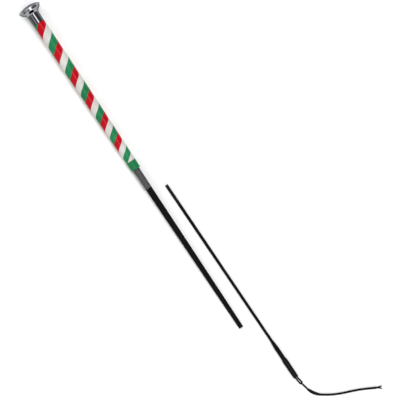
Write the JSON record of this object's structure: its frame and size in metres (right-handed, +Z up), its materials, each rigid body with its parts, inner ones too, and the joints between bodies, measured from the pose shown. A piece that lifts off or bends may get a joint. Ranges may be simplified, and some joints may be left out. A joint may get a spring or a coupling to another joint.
{
  "type": "riding whip",
  "caption": "Two-section dressage whip with a mushroom cap, a spiral-wound striped grip, braided shaft sections and a swinging braided lash.",
  "frame": {"origin": "on the surface the whip lies on, below the middle of its two rigid sections", "axes": "+X along the handle from its cap towards its socket, +Y towards the tip section that lies beside it, +Z up"},
  "size_m": [0.6947, 0.1311, 0.0325],
  "materials": {
    "chrome_plate": "bright chrome plate on spun brass",
    "zinc_steel": "zinc-plated steel screw",
    "grip_foam": "moulded black grip core",
    "green_tape": "glossy green grip tape",
    "red_tape": "glossy red grip tape",
    "white_tape": "glossy white grip tape",
    "fibreglass": "pultruded black fibreglass rod",
    "braided_cover": "tightly braided black nylon thread",
    "clear_film": "clear cellophane film",
    "blacked_metal": "black lacquered brass",
    "waxed_thread": "waxed black thread whipping",
    "keeper_leather": "polished black leather, seamed along one side",
    "black_resin": "black casting resin",
    "loop_cord": "twisted waxed cord",
    "lash_braid": "plaited black nylon cord"
  },
  "bodies": {
    "handle_section": {"cap_face": "chrome_plate", "cap_socket": "chrome_plate", "cap_screw": "zinc_steel", "grip_core": "grip_foam", "grip_tape_green": "green_tape", "grip_tape_red": "red_tape", "grip_tape_white": "white_tape", "grip_tape_white_lap": "white_tape", "grip_end_band": "green_tape", "shaft_rod": "fibreglass", "shaft_cover": "braided_cover", "clear_sleeve": "clear_film", "socket_tube": "blacked_metal"},
    "tip_section": {"spigot_sleeve": "blacked_metal", "tip_rod": "fibreglass", "tip_cover": "braided_cover", "keeper_binding": "waxed_thread", "keeper_sleeve": "keeper_leather", "keeper_filler": "black_resin", "keeper_loop": "loop_cord"},
    "lash": {"lash_eye": "loop_cord", "lash_splice": "lash_braid", "lash_cord": "lash_braid", "lash_knot": "waxed_thread", "lash_tuft": "lash_braid"}
  },
  "joints": [
    {"name": "tip_slide", "type": "slide", "parent": "handle_section", "child": "tip_section", "axis": [0.9976, -0.0699, 0], "range_m": [0, 0.3171]},
    {"name": "lash_swing", "type": "hinge", "parent": "tip_section", "child": "lash", "pos_m": [0.3119, 0.01989, 0.00401], "axis": [0, 0, 1], "range_deg": [-55, 55]}
  ]
}
